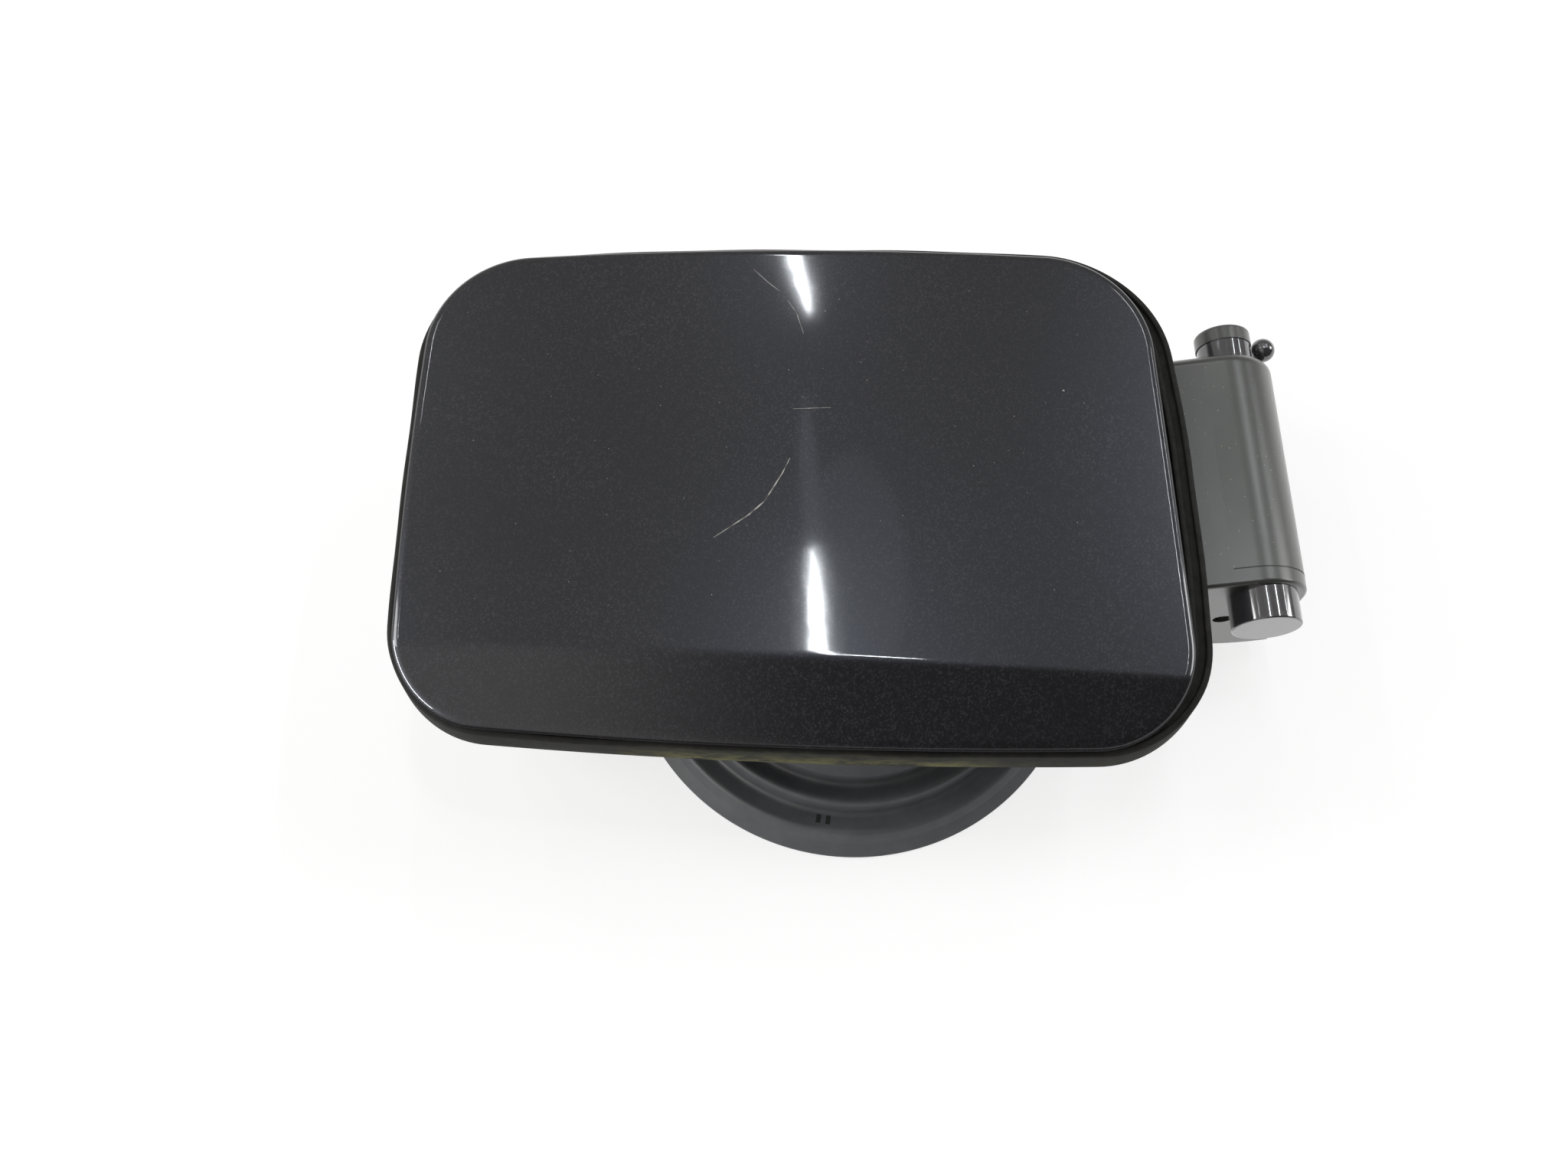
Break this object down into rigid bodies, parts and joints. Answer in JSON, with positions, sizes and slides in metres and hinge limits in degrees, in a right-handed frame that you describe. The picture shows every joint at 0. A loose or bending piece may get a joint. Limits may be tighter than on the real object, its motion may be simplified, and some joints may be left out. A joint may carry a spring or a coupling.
{
  "type": "car fuel door",
  "caption": "Crowned painted flap on a sprung goose-neck hinge over a black plastic filler pot, with an edge seal and a rubber boot for the filler neck.",
  "frame": {"origin": "on the filler neck's axis, in the plane of the boot's foot", "axes": "+Z along the filler neck, out of the car; +X towards the hinge; +Y along the hinge pin"},
  "size_m": [0.2107, 0.136, 0.064],
  "materials": {
    "painted_steel": "dark metallic paint under clear coat, glossy",
    "primed_steel": "dark paint, satin",
    "arm_nylon": "black filled nylon, satin",
    "zinc_steel": "zinc plated",
    "spring_steel": "oiled spring wire",
    "grained_plastic": "charcoal, fine grain",
    "gloss_plastic": "black, glossy",
    "seal_rubber": "black, satin",
    "boot_rubber": "dark blue-grey, matt"
  },
  "bodies": {
    "housing": {"filler_pot": "grained_plastic", "hinge_end_cap": "grained_plastic", "end_cap_screw": "zinc_steel", "rim_seal": "seal_rubber", "filler_boot": "boot_rubber", "pivot_pin": "zinc_steel", "lower_pivot_cap": "gloss_plastic", "upper_pivot_bush": "gloss_plastic", "pin_cap": "grained_plastic", "return_spring": "spring_steel", "spring_peg": "gloss_plastic", "lock_grommet": "seal_rubber", "flap_buffers": "seal_rubber"},
    "flap": {"flap_skin": "painted_steel", "flap_inner_panel": "primed_steel", "hinge_arm": "arm_nylon", "arm_screws": "zinc_steel", "clip_nuts": "zinc_steel", "latch_hook": "zinc_steel", "cap_holder": "arm_nylon", "blind_rivets": "zinc_steel"}
  },
  "joints": [
    {"name": "flap_hinge", "type": "hinge", "parent": "housing", "child": "flap", "pos_m": [0.0923, 0.019, 0.04], "axis": [0, 1, 0], "range_deg": [0, 80], "stiffness_Nm_per_rad": 0.1, "springref_deg": -20.05, "deforming": ["return_spring"]}
  ]
}
